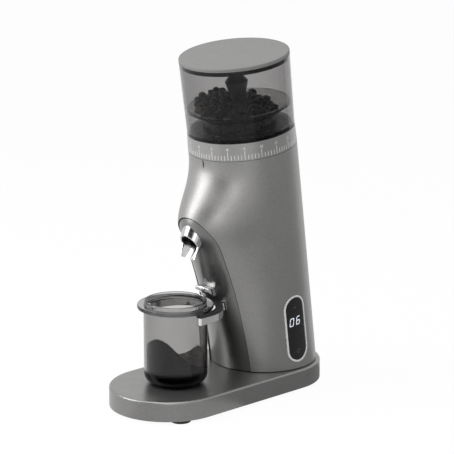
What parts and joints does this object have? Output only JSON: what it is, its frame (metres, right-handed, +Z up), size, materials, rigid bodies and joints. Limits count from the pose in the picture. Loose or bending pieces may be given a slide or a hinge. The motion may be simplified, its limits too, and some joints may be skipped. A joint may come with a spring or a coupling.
{
  "type": "burr coffee grinder",
  "caption": "Leaning-column burr coffee grinder with a clear bean hopper, a numbered adjusting ring, a chrome spout and a clear dosing cup on a flat base.",
  "frame": {"origin": "centre of the base on the surface that the feet stand on", "axes": "+Z up, the front towards -Y, the display on the +X side"},
  "size_m": [0.116, 0.2452, 0.3472],
  "materials": {
    "body_paint": "satin metallic",
    "panel_paint": "semi-gloss metallic",
    "base_paint": "satin metallic",
    "ring_paint": "satin metallic with a printed scale",
    "lid_paint": "satin metallic",
    "smoked_clear": "clear, grey tint",
    "cup_clear": "clear, smoke tint",
    "collar_plastic": "gloss black",
    "stem_plastic": "satin black",
    "soft_rubber": "matt",
    "bright_chrome": "mirror",
    "dark_glass": "gloss black",
    "cover_plastic": "fine grain",
    "fastener_steel": "zinc plated",
    "board_green": "solder mask",
    "cast_alloy": "die cast",
    "burr_steel": "ground",
    "shaft_steel": "ground",
    "gear_polymer": "natural",
    "motor_steel": "plated",
    "magnet_dark": "sintered",
    "bush_bronze": "sintered"
  },
  "bodies": {
    "stand": {"base_plate": "base_paint", "base_cover": "cover_plastic", "cover_screws": "fastener_steel", "rubber_feet": "soft_rubber", "cord_gland": "soft_rubber", "control_board": "board_green", "board_screws": "fastener_steel", "column_shell": "body_paint", "column_screws": "fastener_steel", "front_panel": "panel_paint", "spout": "bright_chrome", "outlet_chute": "cover_plastic", "cup_fork": "bright_chrome", "fork_pads": "soft_rubber", "portafilter_hook": "bright_chrome", "fork_screws": "fastener_steel", "display_bezel": "bright_chrome", "display_glass": "dark_glass", "display_board": "board_green", "grind_chamber": "cast_alloy", "chamber_screws": "fastener_steel", "drive_bearing": "shaft_steel", "ring_clip": "fastener_steel", "gear_housing": "cast_alloy", "gear_cover": "cast_alloy", "gearbox_screws": "fastener_steel", "motor_can": "motor_steel", "motor_end_cap": "cover_plastic", "motor_magnets": "magnet_dark", "motor_bushes": "bush_bronze"},
    "burr_drive": {"planet_carrier": "shaft_steel", "planet_pins": "shaft_steel", "drive_shaft": "shaft_steel", "grounds_sweeper": "cover_plastic", "cone_burr": "burr_steel", "burr_nut": "fastener_steel"},
    "rotor": {"motor_armature": "motor_steel", "motor_shaft": "shaft_steel", "sun_gear": "shaft_steel"},
    "planet_1": {"planet_gear_1": "gear_polymer"},
    "planet_2": {"planet_gear_2": "gear_polymer"},
    "planet_3": {"planet_gear_3": "gear_polymer"},
    "ring": {"adjusting_ring": "ring_paint"},
    "carrier": {"burr_carrier": "cast_alloy", "ring_burr": "burr_steel", "burr_screws": "fastener_steel"},
    "hopper": {"hopper_shell": "smoked_clear", "hopper_funnel": "smoked_clear", "hopper_collar": "collar_plastic"},
    "lid": {"hopper_lid": "lid_paint", "lid_seal": "soft_rubber", "lid_stem": "stem_plastic"},
    "cup": {"dosing_cup": "cup_clear"}
  },
  "joints": [
    {"name": "ring_turn", "type": "hinge", "parent": "stand", "child": "ring", "pos_m": [0, 0.0646, 0.0226], "axis": [0, -0.1271, 0.9919], "range_deg": [-228, 96]},
    {"name": "carrier_slide", "type": "slide", "parent": "stand", "child": "carrier", "axis": [0, -0.1271, 0.9919], "range_m": [-0.0004, 0.0008]},
    {"name": "burr_spin", "type": "hinge", "parent": "stand", "child": "burr_drive", "pos_m": [0, 0.0646, 0.0226], "axis": [0, -0.1271, 0.9919], "continuous": true},
    {"name": "motor_spin", "type": "hinge", "parent": "stand", "child": "rotor", "pos_m": [0, 0.0646, 0.0226], "axis": [0, -0.1271, 0.9919], "continuous": true},
    {"name": "planet_spin_1", "type": "hinge", "parent": "burr_drive", "child": "planet_1", "pos_m": [0.015, 0.04752, 0.15591], "axis": [0, -0.1271, 0.9919], "continuous": true},
    {"name": "planet_spin_2", "type": "hinge", "parent": "burr_drive", "child": "planet_2", "pos_m": [-0.0075, 0.06041, 0.15756], "axis": [0, -0.1271, 0.9919], "continuous": true},
    {"name": "planet_spin_3", "type": "hinge", "parent": "burr_drive", "child": "planet_3", "pos_m": [-0.0075, 0.03464, 0.15426], "axis": [0, -0.1271, 0.9919], "continuous": true},
    {"name": "hopper_lift", "type": "slide", "parent": "carrier", "child": "hopper", "axis": [0, -0.1271, 0.9919], "range_m": [0, 0.1]},
    {"name": "lid_lift", "type": "slide", "parent": "hopper", "child": "lid", "axis": [0, -0.1271, 0.9919], "range_m": [0, 0.06]},
    {"name": "cup_slide", "type": "slide", "parent": "stand", "child": "cup", "axis": [0, -1, 0], "range_m": [0, 0.1]}
  ],
  "couplings": [
    {"joint": "carrier_slide", "follows": "ring_turn", "m_per_rad": -0.00019894},
    {"joint": "motor_spin", "follows": "burr_spin", "ratio": 4},
    {"joint": "planet_spin_1", "follows": "burr_spin", "ratio": -3},
    {"joint": "planet_spin_2", "follows": "burr_spin", "ratio": -3},
    {"joint": "planet_spin_3", "follows": "burr_spin", "ratio": -3}
  ]
}
